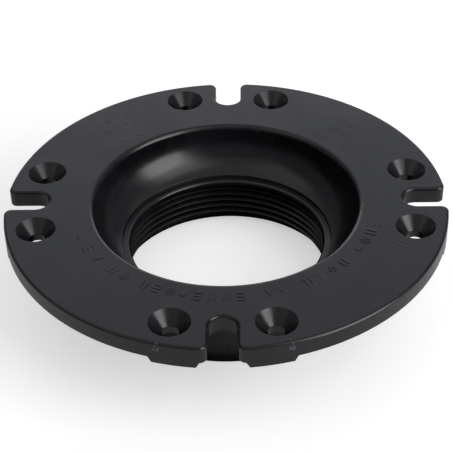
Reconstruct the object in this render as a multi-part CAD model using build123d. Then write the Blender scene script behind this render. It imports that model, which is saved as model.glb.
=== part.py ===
from build123d import *
import math
import os

# A 3 inch female-threaded floor flange for a toilet, in black ABS. Millimetres, +Z up.
# The origin is the centre of the hub's lower end, where the pipe screws in.
# Two pieces: the moulded flange body (plate, bowl, feet) and the threaded hub that is
# solvent-welded into the socket under the bowl.

# ---- driving dimensions ----
FLANGE_R = 88.9             # 7 inch flange
TOTAL_HEIGHT = 43.0
PLATE_T = 6.9
FOOT_T = 2.3                # the feet stand this far below the plate
TOP_EDGE_R = 1.1            # rounding of the rim's and slots' top edges

SLOT_WIDTH = 11.1           # closet bolt slots, 7/16 inch
SLOT_CENTRE_R = 76.7        # centre of each slot's round inner end
SLOT_MOUTH_R = 2.9          # rounding in plan where a slot meets the rim

SCREW_ALONG = 74.34         # screw hole, along the slot's axis from the flange centre
SCREW_ACROSS = 19.2         # and across it
SINK_R = 7.9                # countersink at the top face
SINK_DEPTH = 4.9
SCREW_R = 3.3
BOSS_R = 6.8                # boss round each screw hole, at the plate's underside
BOSS_H = 1.0                # and how far it stands below the plate
BOSS_DRAFT = 0.4

FOOT_START = 8.3            # across the slot's axis: each foot's near and far edge at its root
FOOT_END = 26.9
FOOT_INNER = 80.6           # along the slot's axis: the foot's inner edge at its root
FOOT_CORNER_R = 1.5
FOOT_DRAFT = 30             # degrees, on the feet's sides

BOWL_RIM_R = 2.0            # rounding of the bowl's rim
BOWL_DRAFT = math.radians(7)
COVE_R = 17.4               # section radius of the cove below the drafted wall
COVE_TURN = math.radians(65)  # slope of the cove at its lower end, from the vertical
COVE_END_R = 42.9
COVE_END_Z = 24.3
BOWL_WALL_T = 4.2
STEP_DEPTH = 1.1            # short steep step below the cove, down to the level lip
STEP_DRAFT = 0.4

HUB_R = 50.1
HUB_EDGE = 0.6
SPIGOT_R = 46.5             # the hub's spigot in the body's socket
SPIGOT_H = 2.0
LIP_R = 39.6                # pipe stop above the thread
LIP_BOTTOM_Z = 21.0
LIP_EDGE_R = 1.4
MOUTH_R = 45.3              # smooth lead-in below the thread
MOUTH_H = 1.2

# 3 inch pipe thread: 8 threads per inch, right hand, 1:16 taper on diameter
THREAD_PITCH = 25.4 / 8
THREAD_TAPER = 1 / 32       # on radius
THREAD_DEPTH = 2.2
THREAD_PITCH_R = 42.43      # mean radius at the hub's lower end
THREAD_FLANK = math.radians(30)
THREAD_ROOT_FLAT = 0.32
THREAD_START_Z = 0.25       # groove centre at +X, below the first full ridge
THREAD_TURNS = 6
RELIEF_H = 1.0              # full-depth relief under the lip

# ---- worked out ----
PLATE_BOTTOM_Z = TOTAL_HEIGHT - PLATE_T
FLOOR_Z = PLATE_BOTTOM_Z - FOOT_T
COVE_X = COVE_END_R - COVE_R * math.cos(COVE_TURN)
COVE_Z = COVE_END_Z + COVE_R * math.sin(COVE_TURN)
WALL_FOOT_R = COVE_X + COVE_R * math.cos(BOWL_DRAFT)
WALL_FOOT_Z = COVE_Z - COVE_R * math.sin(BOWL_DRAFT)
WALL_TOP_Z = TOTAL_HEIGHT - BOWL_RIM_R * (1 - math.sin(BOWL_DRAFT))
WALL_TOP_R = WALL_FOOT_R + (WALL_TOP_Z - WALL_FOOT_Z) * math.tan(BOWL_DRAFT)
RIM_X = WALL_TOP_R + BOWL_RIM_R * math.cos(BOWL_DRAFT)
STEP_Z = COVE_END_Z - STEP_DEPTH
STEP_R = COVE_END_R - STEP_DRAFT
SOCKET_Z = STEP_Z - SPIGOT_H
OUTER_COVE_R = COVE_R + BOWL_WALL_T
OUTER_TURN = math.acos((HUB_R - COVE_X) / OUTER_COVE_R)
OUTER_COVE_END_Z = COVE_Z - OUTER_COVE_R * math.sin(OUTER_TURN)
OUTER_R = COVE_X + OUTER_COVE_R
ROOT_R = THREAD_PITCH_R + THREAD_DEPTH / 2
CREST_R = THREAD_PITCH_R - THREAD_DEPTH / 2
CUT_ALLOWANCE = 5.0         # cutters run this far past what they cut


def lathe(outline):
    """Turn a closed outline, drawn as radius and height, about the flange's axis."""
    return revolve(Plane.XZ * make_face(outline), Axis.Z)


def quarter_turns(shape):
    """The shape at each of the four slots."""
    return [Rot(0, 0, 90 * turn) * shape for turn in range(4)]


def both_hands(shape):
    """The shape on each side of its slot."""
    return [shape, mirror(shape, Plane.YZ)]


def plate_outline():
    """The flange in plan: a disc with four open slots, their mouths rounded."""
    slot_length = FLANGE_R + CUT_ALLOWANCE - SLOT_CENTRE_R
    slot = Pos(0, -SLOT_CENTRE_R) * Circle(SLOT_WIDTH / 2)
    slot += Pos(0, -SLOT_CENTRE_R - slot_length / 2) * Rectangle(SLOT_WIDTH, slot_length)
    outline = Circle(FLANGE_R)
    for cutter in quarter_turns(slot):
        outline -= cutter
    rim_corners = [v for v in outline.vertices() if math.hypot(v.X, v.Y) > FLANGE_R - 0.1]
    slot_corners = [v for v in rim_corners if min(abs(v.X), abs(v.Y)) > 0.1]
    return fillet(slot_corners, SLOT_MOUTH_R)


def plate():
    """The flat ring with its slots, top edges rounded."""
    disc = Pos(0, 0, PLATE_BOTTOM_Z) * extrude(plate_outline(), PLATE_T)
    top = disc.faces().sort_by(Axis.Z)[-1]
    return fillet(top.outer_wire().edges(), TOP_EDGE_R)


def feet():
    """Eight tapered feet at the rim, one on each side of each slot, flush with the rim."""
    width = FOOT_END - FOOT_START
    length = FLANGE_R + CUT_ALLOWANCE - FOOT_INNER
    root = Pos(FOOT_START + width / 2, -FOOT_INNER - length / 2, PLATE_BOTTOM_Z)
    block = extrude(root * RectangleRounded(width, length, FOOT_CORNER_R), -FOOT_T, taper=FOOT_DRAFT)
    column = Pos(0, 0, FLOOR_Z) * extrude(plate_outline(), FOOT_T)
    return [column & foot for side in both_hands(block) for foot in quarter_turns(side)]


def bowl_wall():
    """The bowl's outside, solid: a band under the plate, a cove and the socket's skirt."""
    cove = CenterArc((COVE_X, COVE_Z), OUTER_COVE_R, -math.degrees(OUTER_TURN),
                     math.degrees(OUTER_TURN))
    outline = Polyline((HUB_R, OUTER_COVE_END_Z), (HUB_R, SOCKET_Z), (0, SOCKET_Z),
                       (0, TOTAL_HEIGHT - TOP_EDGE_R), (OUTER_R, TOTAL_HEIGHT - TOP_EDGE_R),
                       (OUTER_R, COVE_Z))
    return lathe(outline + cove)


def bowl_hollow():
    """What the bowl leaves open: rounded rim, drafted wall, cove, step and socket."""
    draft = math.degrees(BOWL_DRAFT)
    rim = CenterArc((RIM_X, TOTAL_HEIGHT - BOWL_RIM_R), BOWL_RIM_R, 90, 90 - draft)
    wall = Line((WALL_TOP_R, WALL_TOP_Z), (WALL_FOOT_R, WALL_FOOT_Z))
    cove = CenterArc((COVE_X, COVE_Z), COVE_R, -math.degrees(COVE_TURN),
                     math.degrees(COVE_TURN - BOWL_DRAFT))
    below = Polyline((COVE_END_R, COVE_END_Z), (STEP_R, STEP_Z), (SPIGOT_R, STEP_Z),
                     (SPIGOT_R, SOCKET_Z - CUT_ALLOWANCE), (0, SOCKET_Z - CUT_ALLOWANCE),
                     (0, TOTAL_HEIGHT + CUT_ALLOWANCE), (RIM_X, TOTAL_HEIGHT + CUT_ALLOWANCE),
                     (RIM_X, TOTAL_HEIGHT))
    return lathe(rim + wall + cove + below)


def screw_boss():
    """The boss below the plate round one floor screw."""
    low_z = PLATE_BOTTOM_Z - BOSS_H
    outline = Polyline((0, low_z), (BOSS_R - BOSS_DRAFT, low_z), (BOSS_R, PLATE_BOTTOM_Z),
                       (BOSS_R, TOTAL_HEIGHT - SINK_DEPTH), (0, TOTAL_HEIGHT - SINK_DEPTH), close=True)
    return Pos(SCREW_ACROSS, -SCREW_ALONG, 0) * lathe(outline)


def screw_hole():
    """Countersink and straight hole for one floor screw."""
    outline = Polyline((0, FLOOR_Z - CUT_ALLOWANCE), (SCREW_R, FLOOR_Z - CUT_ALLOWANCE),
                       (SCREW_R, TOTAL_HEIGHT - SINK_DEPTH), (SINK_R, TOTAL_HEIGHT),
                       (SINK_R, TOTAL_HEIGHT + CUT_ALLOWANCE), (0, TOTAL_HEIGHT + CUT_ALLOWANCE),
                       close=True)
    return Pos(SCREW_ACROSS, -SCREW_ALONG, 0) * lathe(outline)


def at_each_screw(shape):
    """The shape at all eight screw holes."""
    return [placed for side in both_hands(shape) for placed in quarter_turns(side)]


def flange_body():
    """Plate, bowl, feet and screw bosses, moulded in one."""
    body = plate() + bowl_wall()
    for foot in feet():
        body += foot
    for boss in at_each_screw(screw_boss()):
        body += boss
    body -= bowl_hollow()
    for hole in at_each_screw(screw_hole()):
        body -= hole
    return body


def crest_radius(z):
    """Radius of the thread's crests at this height."""
    return CREST_R - z * THREAD_TAPER


def thread_core():
    """The tapered sleeve that the thread is cut in, longer than the hub below."""
    low, high = -CUT_ALLOWANCE, LIP_BOTTOM_Z
    return lathe(Polyline((crest_radius(low), low), (HUB_R, low), (HUB_R, high),
                          (crest_radius(high), high), close=True))


def thread_groove():
    """One tapered right-hand helical groove, a truncated 60 degree V."""
    root_r = ROOT_R - THREAD_START_Z * THREAD_TAPER
    mouth_r = root_r - THREAD_DEPTH
    inner_r = mouth_r - 1
    root_half = THREAD_ROOT_FLAT / 2
    mouth_half = root_half + THREAD_DEPTH * math.tan(THREAD_FLANK)
    section = Polyline((root_r, -root_half), (root_r, root_half), (mouth_r, mouth_half),
                       (inner_r, mouth_half), (inner_r, -mouth_half), (mouth_r, -mouth_half),
                       close=True)
    section = Pos(0, 0, THREAD_START_Z) * (Plane.XZ * make_face(section))
    path = Helix(THREAD_PITCH, THREAD_PITCH * THREAD_TURNS, THREAD_PITCH_R,
                 center=(0, 0, THREAD_START_Z), cone_angle=-math.degrees(math.atan(THREAD_TAPER)))
    return sweep(section, path, is_frenet=True)


def thread_relief():
    """The open ring above the thread, with a flank like the thread's own."""
    top_z = LIP_BOTTOM_Z + 1
    relief_z = LIP_BOTTOM_Z - RELIEF_H
    tip_z = relief_z - (ROOT_R - LIP_R) * math.tan(THREAD_FLANK)
    return lathe(Polyline((0, top_z), (ROOT_R, top_z), (ROOT_R, relief_z), (LIP_R, tip_z),
                          (0, tip_z), close=True))


def lead_in():
    """The straight mouth and the 45 degree cone that opens the thread's lower end."""
    cone_top = MOUTH_H + MOUTH_R - LIP_R
    return lathe(Polyline((0, -2 * CUT_ALLOWANCE), (MOUTH_R, -2 * CUT_ALLOWANCE), (MOUTH_R, MOUTH_H),
                          (LIP_R, cone_top), (0, cone_top), close=True))


def hub_head():
    """The hub above its thread: pipe stop with a rounded edge, and the spigot level with it."""
    edge = CenterArc((LIP_R + LIP_EDGE_R, STEP_Z - LIP_EDGE_R), LIP_EDGE_R, 90, 90)
    outline = Polyline((LIP_R + LIP_EDGE_R, STEP_Z), (SPIGOT_R, STEP_Z), (SPIGOT_R, SOCKET_Z),
                       (HUB_R, SOCKET_Z), (HUB_R, LIP_BOTTOM_Z), (LIP_R, LIP_BOTTOM_Z),
                       (LIP_R, STEP_Z - LIP_EDGE_R))
    return lathe(outline + edge)


def threaded_hub():
    """The collar that takes the pipe."""
    below = Pos(0, 0, -CUT_ALLOWANCE) * Cylinder(2 * HUB_R, 2 * CUT_ALLOWANCE)
    hub = thread_core() - thread_groove() - thread_relief() - lead_in() - below
    hub += hub_head()
    low_edges = hub.edges().filter_by(GeomType.CIRCLE).group_by(Axis.Z)[0]
    return chamfer(low_edges.sort_by(SortBy.RADIUS)[-1:], HUB_EDGE)


def write(name, shape):
    """Save one node as its own STEP file."""
    solid = shape.solid()
    print(name, round(solid.volume / 1000, 2), "cm3")
    export_step(solid, f"parts/{name}.step")


os.makedirs("parts", exist_ok=True)
write("flange_body", flange_body())
write("threaded_hub", threaded_hub())
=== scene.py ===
import math

import bpy
from mathutils import Matrix, Vector


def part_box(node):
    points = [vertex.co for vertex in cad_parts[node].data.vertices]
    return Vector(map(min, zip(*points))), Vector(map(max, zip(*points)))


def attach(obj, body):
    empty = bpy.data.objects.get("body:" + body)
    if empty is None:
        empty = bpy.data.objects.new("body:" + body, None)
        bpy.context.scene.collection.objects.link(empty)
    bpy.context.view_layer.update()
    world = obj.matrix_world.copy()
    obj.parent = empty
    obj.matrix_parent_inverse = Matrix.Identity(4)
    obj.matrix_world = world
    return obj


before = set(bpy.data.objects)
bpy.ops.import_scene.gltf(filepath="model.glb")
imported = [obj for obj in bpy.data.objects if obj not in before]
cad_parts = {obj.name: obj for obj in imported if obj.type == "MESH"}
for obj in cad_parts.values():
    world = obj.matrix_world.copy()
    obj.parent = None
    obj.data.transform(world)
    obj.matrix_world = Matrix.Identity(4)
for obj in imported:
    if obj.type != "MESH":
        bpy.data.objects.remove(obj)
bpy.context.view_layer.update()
scene = bpy.context.scene
scene.view_settings.view_transform = "Standard"

MM = 0.001

# ---- places on the part, metres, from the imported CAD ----
TOP_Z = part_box("flange_body")[1].z
HUB_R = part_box("threaded_hub")[1].x
HUB_TOP_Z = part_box("threaded_hub")[1].z
FLANGE_R = 88.9 * MM
RIM_EDGE_R = 1.1 * MM
SCREW_ALONG = 74.34 * MM
SCREW_ACROSS = 19.2 * MM

# ---- camera, fitted to the object's outline and holes ----
CAMERA_AT = Vector((0.012118, -0.423393, 0.353507))
CAMERA_AIM = Vector((-0.000167, 0.0, 0.029093))
CAMERA_ROLL = math.radians(-1.5166)
CAMERA_LENS = 103.965
CAMERA_SENSOR = 36.0


def add_camera():
    data = bpy.data.cameras.new("camera")
    data.sensor_width = CAMERA_SENSOR
    data.lens = CAMERA_LENS
    data.clip_start, data.clip_end = 0.01, 50.0
    camera = bpy.data.objects.new("camera", data)
    facing = (CAMERA_AIM - CAMERA_AT).to_track_quat("-Z", "Y").to_matrix().to_4x4()
    roll = Matrix.Rotation(CAMERA_ROLL, 4, "Z")
    camera.matrix_world = Matrix.Translation(CAMERA_AT) @ facing @ roll
    scene.collection.objects.link(camera)
    scene.camera = camera


# ---- materials ----
# Noise and dust scales are in cells per metre.
MOTTLE_SCALE, CLOUD_SCALE, WAVE_SCALE, GRAIN_SCALE = 38, 12, 55, 2600
SCUFF_STRETCH = (60, 900, 400)
DUST = ((190, 0.9), (420, 0.93))  # scale, share of the cells that stay clean
WORN_RADIUS = 0.25 * MM
TONE_DARK, TONE_LIGHT, BLUENESS = 0.003, 0.0062, 1.25
WEAR_TONE, DUST_TONE, SCUFF_TONE = 0.006, 0.09, 0.004
GLOSSY, DULL = 0.2, 0.29
SCUFF_DULL, WEAR_DULL, DUST_DULL = 0.1, 0.1, 0.4
WAVE_DEPTH, GRAIN_DEPTH = 0.04 * MM, 0.0018 * MM

TORN_SCALE, TORN_TONE = 1400, 0.09

# Knit lines run out along Y, from the throat to where they fade before the bolt slots.
KNIT_X, KNIT_HALF_WIDTH, KNIT_WANDER, WANDER_SCALE = 0.6 * MM, 0.5 * MM, 0.5 * MM, 160
KNIT_BEGINS, KNIT_FADES = (39.8 * MM, 40.8 * MM), (71 * MM, 66 * MM)
KNIT_DEPTH = 0.03 * MM

# Ripples are rings about a screw hole, between two radii and on the side nearer to the axis.
RIPPLE_TURN = 2 * math.pi / (2.2 * MM)
RIPPLE_BEGINS, RIPPLE_FADES = (8.5 * MM, 10.5 * MM), (18.5 * MM, 15 * MM)
RIPPLE_SIDE = (SCREW_ALONG - 1 * MM, SCREW_ALONG - 7 * MM)
RIPPLE_DEPTH = 0.018 * MM

# Sinks are shallow hollows inwards of the two front screw holes.
SINK_MARK_Y = -60.5 * MM
SINK_STRETCH = (1.5, 0.8, 1)
SINK_MARK_R, SINK_MARK_DEPTH = (1 * MM, 8.5 * MM), 0.18 * MM


class Shader:
    """A node material whose nodes are made and linked in one call each."""

    def __init__(self, name):
        self.material = bpy.data.materials.new(name)
        self.material.use_nodes = True
        self.tree = self.material.node_tree
        self.bsdf = self.tree.nodes["Principled BSDF"]

    def put(self, socket, value):
        if isinstance(value, bpy.types.NodeSocket):
            self.tree.links.new(value, socket)
        elif isinstance(value, (int, float)) and hasattr(socket.default_value, "__len__"):
            socket.default_value = [value] * len(socket.default_value)
        else:
            socket.default_value = value

    def node(self, kind, inputs, output=0, **settings):
        made = self.tree.nodes.new("ShaderNode" + kind)
        for name, value in settings.items():
            setattr(made, name, value)
        for key, value in inputs.items():
            self.put(made.inputs[key], value)
        return made.outputs[output]

    def math(self, operation, *values):
        return self.node("Math", dict(enumerate(values)), operation=operation)

    def ramp(self, value, low, high, to_low=0.0, to_high=1.0):
        """value from low..high, smoothly, to to_low..to_high."""
        return self.node("MapRange", {0: value, 1: low, 2: high, 3: to_low, 4: to_high},
                         interpolation_type="SMOOTHSTEP")

    def noise(self, where, scale, detail=2.0, roughness=0.5, distortion=0.0):
        return self.node("TexNoise", {"Vector": where, "Scale": scale, "Detail": detail,
                                      "Roughness": roughness, "Distortion": distortion})

    def bump(self, height, distance, normal):
        return self.node("Bump", {"Height": height, "Distance": distance, "Normal": normal})

    def specks(self, where, scale, clean_share):
        """Dots in a few of the cells of a Voronoi pattern."""
        cell = self.node("TexVoronoi", {"Vector": where, "Scale": scale}, output=0)
        pick = self.node("TexVoronoi", {"Vector": where, "Scale": scale}, output=1)
        pick = self.node("SeparateColor", {0: pick})
        chosen = self.ramp(pick, clean_share, clean_share + 0.01)
        return self.math("MULTIPLY", self.ramp(cell, 0.05, 0.03), chosen)

    def add(self, first, *others):
        total = first
        for other in others:
            total = self.math("ADD", total, other)
        return total


def black_abs(name, seed):
    """Moulded black ABS: glossy satin, with flow mottling, fine grain, scuffs, dust and worn edges.

    Returns the shader with its tone and bump not linked yet, and the object-space position.
    """
    s = Shader(name)
    place = s.node("TexCoord", {}, output=3)
    where = s.node("VectorMath", {0: place, 1: (seed, seed, seed)}, operation="ADD")
    mottle = s.noise(where, MOTTLE_SCALE, detail=5, roughness=0.62, distortion=0.6)
    cloud = s.noise(where, CLOUD_SCALE, detail=3)
    grain = s.noise(where, GRAIN_SCALE, detail=2)
    waviness = s.noise(where, WAVE_SCALE, detail=1.5)

    stretched = s.node("VectorMath", {0: where, 1: SCUFF_STRETCH}, operation="MULTIPLY")
    scuff = s.noise(stretched, 1.0, detail=3, roughness=0.7)
    scuff = s.math("MULTIPLY", s.ramp(scuff, 0.6, 0.72), s.ramp(cloud, 0.48, 0.62))
    dust = s.math("MAXIMUM", *[s.specks(where, scale, clean) for scale, clean in DUST])

    rounded = s.node("Bevel", {"Radius": WORN_RADIUS}, samples=6)
    sharp = s.node("NewGeometry", {}, output=1)
    turned = s.node("VectorMath", {0: rounded, 1: sharp}, output=1, operation="DOT_PRODUCT")
    edge = s.ramp(turned, 0.995, 0.9)
    wear = s.math("MULTIPLY", edge, s.ramp(mottle, 0.42, 0.6))

    tone = s.ramp(mottle, 0.3, 0.7, TONE_DARK, TONE_LIGHT)
    s.tone = s.add(tone, s.math("MULTIPLY", wear, WEAR_TONE),
                   s.math("MULTIPLY", dust, DUST_TONE), s.math("MULTIPLY", scuff, SCUFF_TONE))

    rough = s.add(s.ramp(mottle, 0.3, 0.7, GLOSSY, DULL), s.math("MULTIPLY", scuff, SCUFF_DULL),
                  s.math("MULTIPLY", wear, WEAR_DULL), s.math("MULTIPLY", dust, DUST_DULL))
    s.put(s.bsdf.inputs["Roughness"], rough)

    normal = s.bump(waviness, WAVE_DEPTH, rounded)
    s.normal = s.bump(grain, GRAIN_DEPTH, normal)
    s.place = place
    return s


def finish_surface(s):
    """Links the last tone, slightly blue, and the last bump, and returns the material."""
    blue = s.math("MULTIPLY", s.tone, BLUENESS)
    colour = s.node("CombineColor", {0: s.tone, 1: s.tone, 2: blue})
    s.put(s.bsdf.inputs["Base Color"], colour)
    s.put(s.bsdf.inputs["Normal"], s.normal)
    return s.material


def add_flow_marks(s):
    """What the melt left on the body: two knit lines, ripples past one screw hole, and sinks."""
    xyz = s.node("SeparateXYZ", {0: s.place})
    x, y = xyz, xyz.node.outputs[1]
    wander = s.ramp(s.noise(s.place, WANDER_SCALE), 0.0, 1.0, -KNIT_WANDER, KNIT_WANDER)
    off_line = s.math("ABSOLUTE", s.add(x, wander, -KNIT_X))
    knit = s.ramp(off_line, KNIT_HALF_WIDTH, 0.0)
    knit = s.math("MULTIPLY", knit, s.ramp(s.math("ABSOLUTE", y), *KNIT_BEGINS))
    knit = s.math("MULTIPLY", knit, s.ramp(s.math("ABSOLUTE", y), *KNIT_FADES))
    s.normal = s.bump(knit, KNIT_DEPTH, s.normal)

    hole = (SCREW_ALONG, -SCREW_ACROSS, TOP_Z)
    reach = s.node("VectorMath", {0: s.place, 1: hole}, output=1, operation="DISTANCE")
    uneven = s.add(reach, s.math("MULTIPLY", wander, 1.5))
    ripple = s.math("SINE", s.math("MULTIPLY", uneven, RIPPLE_TURN))
    ripple = s.math("MULTIPLY", ripple, s.ramp(reach, *RIPPLE_BEGINS))
    ripple = s.math("MULTIPLY", ripple, s.ramp(reach, *RIPPLE_FADES))
    ripple = s.math("MULTIPLY", ripple, s.ramp(x, *RIPPLE_SIDE))
    s.normal = s.bump(ripple, RIPPLE_DEPTH, s.normal)

    for side in (-1, 1):
        hollow = (side * SCREW_ACROSS, SINK_MARK_Y, TOP_Z)
        away = s.node("VectorMath", {0: s.place, 1: hollow}, operation="SUBTRACT")
        away = s.node("VectorMath", {0: away, 1: SINK_STRETCH}, operation="MULTIPLY")
        away = s.node("VectorMath", {0: away}, output=1, operation="LENGTH")
        s.normal = s.bump(s.ramp(away, *SINK_MARK_R), SINK_MARK_DEPTH, s.normal)


def whiten_tears(s):
    """Torn plastic turns pale in fine patches."""
    patch = s.ramp(s.noise(s.place, TORN_SCALE, detail=3), 0.42, 0.68)
    s.tone = s.add(s.tone, s.math("MULTIPLY", patch, TORN_TONE))


def paint(obj, material):
    obj.data.materials.clear()
    obj.data.materials.append(material)


# ---- small moulded features ----
def add_piece(name, vertices, faces, material, smooth=False):
    mesh = bpy.data.meshes.new(name)
    mesh.from_pydata(vertices, [], faces)
    mesh.validate()
    if smooth:
        mesh.shade_smooth()
    piece = bpy.data.objects.new(name, mesh)
    scene.collection.objects.link(piece)
    paint(piece, material)
    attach(piece, "root")
    return piece


class Relief:
    """Raised shapes with sloped sides, gathered into one mesh."""

    MOST_DRAFT = 0.45  # of the way from a corner to the middle

    def __init__(self):
        self.vertices, self.faces = [], []

    def block(self, outline, base, up, height, draft):
        """Raises an outline, a list of points, along up by height, with its top smaller by draft."""
        centre = sum(outline, Vector()) / len(outline)
        top = []
        for point in outline:
            inward = centre - point
            shrink = min(draft, self.MOST_DRAFT * inward.length)
            top.append(point + inward.normalized() * shrink + up * height)
        low = [point - up * base for point in outline]
        start, n = len(self.vertices), len(outline)
        self.vertices += low + list(outline) + top
        for ring in (0, 1):
            for i in range(n):
                j = (i + 1) % n
                a, b = start + ring * n, start + (ring + 1) * n
                self.faces.append((a + i, a + j, b + j, b + i))
        self.faces.append(tuple(range(start + 2 * n, start + 3 * n)))
        self.faces.append(tuple(reversed(range(start, start + n))))


def on_rim(radius, degrees, z):
    """The point at this radius and angle about the axis, and its outward direction."""
    angle = math.radians(degrees)
    outward = Vector((math.cos(angle), math.sin(angle), 0))
    return outward * radius + Vector((0, 0, z)), outward


# Generic moulded marks stand where the real part has lettering: bars, dashes, blocks and wedges.
# Each is a list of outlines, in mm: along the arc, then outwards.
def bar(u, v, half_u, half_v):
    return [(u - half_u, v - half_v), (u + half_u, v - half_v),
            (u + half_u, v + half_v), (u - half_u, v + half_v)]


MARKS = {
    "bars": [bar(-1.0, 0, 0.38, 2.3), bar(1.0, 0, 0.38, 2.3)],
    "dashes": [bar(0, v, 1.5, 0.36) for v in (-1.9, 0, 1.9)],
    "block": [bar(0, 0, 1.15, 1.15)],
    "wedge": [[(-1.4, -2.0), (1.4, -2.0), (0, 2.2)]],
    "posts": [bar(-1.2, 0, 0.34, 1.6), bar(0, 0, 0.34, 2.3), bar(1.2, 0, 0.34, 1.6)],
}
MARK_BASE, MARK_DRAFT = 0.1 * MM, 0.22 * MM

# Where the marks stand: radius in mm, degrees about the axis, and the mark.
FRONT_ARC = [(61, t, kind) for t, kind in (
    (-157, "block"), (-149, "dashes"), (-142, "wedge"), (-133, "bars"), (-127.5, "posts"),
    (-119, "bars"), (-114, "dashes"), (-109, "posts"), (-104, "block"), (-99, "dashes"),
    (-94, "bars"), (-89, "posts"), (-84, "dashes"), (-74, "wedge"), (-69, "block"),
    (-59, "bars"), (-53.5, "dashes"), (-48, "posts"), (-42.5, "bars"), (-33, "block"),
    (-27.5, "posts"), (-22, "bars"), (-17, "dashes"),
)]
REAR_RIGHT = [(r, t, kind) for r, row in (
    (61, ((36, "dashes"), (41, "bars"), (46, "block"), (51, "posts"))),
    (68.5, ((34, "bars"), (38.5, "posts"), (43, "dashes"), (47.5, "bars"))),
    (75.5, ((37, "block"), (41, "dashes"), (45, "posts"), (49, "bars"))),
) for t, kind in row]
REAR_LEFT = [(61.5, t, kind) for t, kind in ((129, "wedge"), (136, "block"), (143, "wedge"))]
REAR_LEFT += [(r, t, kind) for r in (71.5, 78) for t, kind in (
    (124, "bars"), (128, "dashes"), (132, "posts"), (136, "bars"), (140, "dashes"))]


# piece, its marks, their scale, their height in mm
MARK_GROUPS = (
    ("marks_front", FRONT_ARC, 1.0, 0.2),
    ("marks_rear_right", REAR_RIGHT, 0.75, 0.1),
    ("marks_rear_left", REAR_LEFT, 0.75, 0.08),
)


def add_marks():
    up = Vector((0, 0, 1))
    for name, marks, scale, height in MARK_GROUPS:
        relief = Relief()
        for radius, degrees, kind in marks:
            centre, outward = on_rim(radius * MM, degrees, TOP_Z)
            along = up.cross(outward)
            for outline in MARKS[kind]:
                points = [centre + (along * u + outward * v) * scale * MM for u, v in outline]
                relief.block(points, MARK_BASE, up, height * MM, MARK_DRAFT)
        add_piece(name, relief.vertices, relief.faces, abs_body)


def rim_section(travel):
    """A point of the rim's section and its outward direction, as radius and height.

    Travel runs over the rounded top edge, which starts at 0, and on down the wall.
    """
    bend = travel / RIM_EDGE_R
    turn = min(max(bend, 0.0), math.pi / 2)
    radius = FLANGE_R - RIM_EDGE_R * (1 - math.sin(turn)) + min(travel, 0.0)
    z = TOP_Z - RIM_EDGE_R * (1 - math.cos(turn)) - max(travel - RIM_EDGE_R * math.pi / 2, 0.0)
    return (radius, z), (math.sin(turn), math.cos(turn))


# name, degrees about the axis, and a phase that makes the two tears differ
GATES = (("gate_left", -105.33, 0.4), ("gate_right", -73.93, 2.3))
GATE_ROWS, GATE_COLUMNS = 22, 14
GATE_START, GATE_LENGTH = -1.3, 5.6  # mm along the rim's section
GATE_HALF_WIDTH, GATE_SPREAD = 0.35, 1.35  # mm, at the top and added by the bottom
GATE_SUNK, GATE_LIFT = 0.06, 0.6  # mm, under the rim at its edges and above it


def add_gate_scars():
    """What's left of two gates torn off the front of the rim: a ragged tab over its top edge."""
    n = GATE_COLUMNS + 1
    for name, degrees, phase in GATES:
        around = math.radians(degrees)
        vertices = []
        for k in range(GATE_ROWS + 1):
            down = k / GATE_ROWS
            (radius, z), (out, up) = rim_section((GATE_START + GATE_LENGTH * down) * MM)
            half = (GATE_HALF_WIDTH + GATE_SPREAD * down ** 1.3) * MM
            half *= 1 + 0.1 * math.sin(7 * down + phase)
            for i in range(n):
                across = 2 * i / GATE_COLUMNS - 1
                crown = (1 - across ** 4) * math.sin(math.pi * down) ** 0.5
                ridge = (across - 0.35 * math.sin(4 * down + phase)) / 0.22
                tear = 0.5 + 0.3 * math.sin(9 * down + 2.5 * across + phase)
                tear += 0.35 * math.exp(-ridge ** 2)
                lift = (-GATE_SUNK + GATE_LIFT * crown * tear * (0.2 + 0.8 * down)) * MM
                angle = around + across * half / FLANGE_R
                r = radius + lift * out
                vertices.append(Vector((r * math.cos(angle), r * math.sin(angle), z + lift * up)))
        faces = [(k * n + i, (k + 1) * n + i, (k + 1) * n + i + 1, k * n + i + 1)
                 for k in range(GATE_ROWS) for i in range(GATE_COLUMNS)]
        add_piece(name, vertices, faces, abs_torn, smooth=True)


LINE_PROFILE = ((-0.42, -0.05), (-0.2, 0.09), (0.0, 0.13), (0.2, 0.09), (0.42, -0.05))  # mm
LINE_LOW, LINE_HIGH, LINE_STEPS = 0.7 * MM, HUB_TOP_Z - 2.6 * MM, 14


def add_hub_line():
    """The mould's parting line down the front and back of the hub: a thin raised flash."""
    n = len(LINE_PROFILE)
    for name, degrees in (("hub_line_front", -88.9), ("hub_line_back", 91.1)):
        vertices = []
        for k in range(LINE_STEPS + 1):
            z = LINE_LOW + (LINE_HIGH - LINE_LOW) * k / LINE_STEPS
            centre, outward = on_rim(HUB_R, degrees, z)
            side = Vector((0, 0, 1)).cross(outward)
            size = (1 + 0.18 * math.sin(2.1 * k) + 0.1 * math.sin(5.3 * k + 1)) * MM
            vertices += [centre + (side * u + outward * h) * size for u, h in LINE_PROFILE]
        faces = [(k * n + i, k * n + i + 1, (k + 1) * n + i + 1, (k + 1) * n + i)
                 for k in range(LINE_STEPS) for i in range(n - 1)]
        add_piece(name, vertices, faces, abs_hub, smooth=True)


# The number after a material's name moves its noise, so that no two match.
body_shader = black_abs("abs_body", 0.0)
add_flow_marks(body_shader)
abs_body = finish_surface(body_shader)
abs_hub = finish_surface(black_abs("abs_hub", 3.7))
torn_shader = black_abs("abs_torn", 1.9)
whiten_tears(torn_shader)
abs_torn = finish_surface(torn_shader)
paint(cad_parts["flange_body"], abs_body)
paint(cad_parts["threaded_hub"], abs_hub)
add_marks()
add_gate_scars()
add_hub_line()


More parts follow.
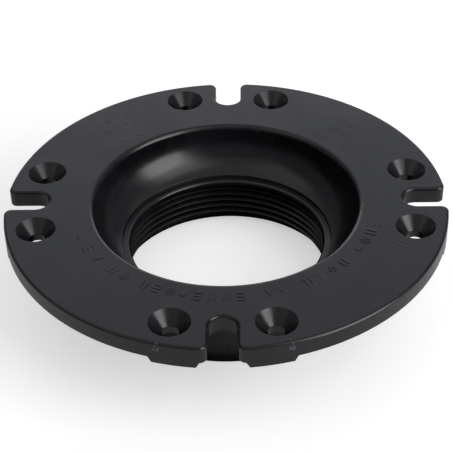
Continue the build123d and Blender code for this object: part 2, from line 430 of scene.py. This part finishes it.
# ---- studio ----
# Softboxes stand round the part at this distance. Azimuth 0 is the camera's side and 90 the right.
SOFTBOX_DISTANCE = 1.5
WORLD_GLOW = 0.2
COOL, NEUTRAL, WARM = (0.95, 0.98, 1.07), (1.0, 1.0, 1.02), (1.04, 1.0, 0.94)
# name, azimuth, elevation, width, height, radiance, colour
SOFTBOXES = (
    ("key", 60, 20, 1.1, 1.2, 4.0, NEUTRAL),
    ("key_top", 60, 52, 1.0, 0.7, 1.5, NEUTRAL),
    ("ceiling", 0, 88, 3.0, 3.0, 0.24, WARM),
    ("rear_low", 180, 10, 1.3, 0.8, 0.95, NEUTRAL),
    ("rear_high", 180, 36, 1.4, 0.7, 0.47, COOL),
    ("left", -80, 55, 1.2, 0.9, 0.25, WARM),
)

# The floor has levels just below the part: a pale one for the camera, one that lights the part as a
# studio floor would, and a dark disc under the hub, unseen by the camera, that is painted shade: it
# keeps the inside of the thread and the hub's reflections dark where the floor would lie in shade.
# name, radius, depth, albedo, glow, seen by the camera
FLOORS = (
    ("floor", 6.0, 0.3 * MM, 0.8, 0.5, True),
    ("floor_bounce", 6.0, 0.6 * MM, 0.8, 0.0, False),
    # painted shade: a near-black disc where the floor under the hub would be in shade
    ("floor_painted_shade", 0.056, 0.5 * MM, 0.03, 0.0, False),
)


def add_floor(name, radius, depth, albedo, glow, camera_sees):
    bpy.ops.mesh.primitive_circle_add(vertices=128, radius=radius, fill_type="NGON",
                                      location=(0, 0, -depth))
    floor = bpy.context.object
    floor.name = name
    s = Shader(name)
    s.put(s.bsdf.inputs["Base Color"], (albedo, albedo, albedo, 1))
    s.put(s.bsdf.inputs["Roughness"], 0.9)
    s.put(s.bsdf.inputs["Emission Color"], (1, 1, 1, 1))
    s.put(s.bsdf.inputs["Emission Strength"], glow)
    paint(floor, s.material)
    floor.visible_camera = camera_sees
    floor.visible_diffuse = floor.visible_glossy = floor.visible_shadow = not camera_sees


def add_world():
    world = bpy.data.worlds.new("studio")
    scene.world = world
    world.use_nodes = True
    background = world.node_tree.nodes["Background"]
    background.inputs["Color"].default_value = (*COOL, 1)
    background.inputs["Strength"].default_value = WORLD_GLOW


def softbox(name, azimuth, elevation, width, height, radiance, colour):
    """A panel of even light that faces the part."""
    a, e = math.radians(azimuth), math.radians(elevation)
    away = Vector((math.sin(a) * math.cos(e), -math.cos(a) * math.cos(e), math.sin(e)))
    data = bpy.data.lights.new(name, "AREA")
    data.shape = "RECTANGLE"
    data.size, data.size_y = width, height
    data.energy = radiance * math.pi * width * height
    data.color = colour
    light = bpy.data.objects.new(name, data)
    light.location = away * SOFTBOX_DISTANCE + Vector((0, 0, TOP_Z))
    light.rotation_mode = "QUATERNION"
    light.rotation_quaternion = away.to_track_quat("Z", "Y")
    light.visible_camera = False
    scene.collection.objects.link(light)


for level in FLOORS:
    add_floor(*level)
add_world()
for box in SOFTBOXES:
    softbox(*box)
add_camera()
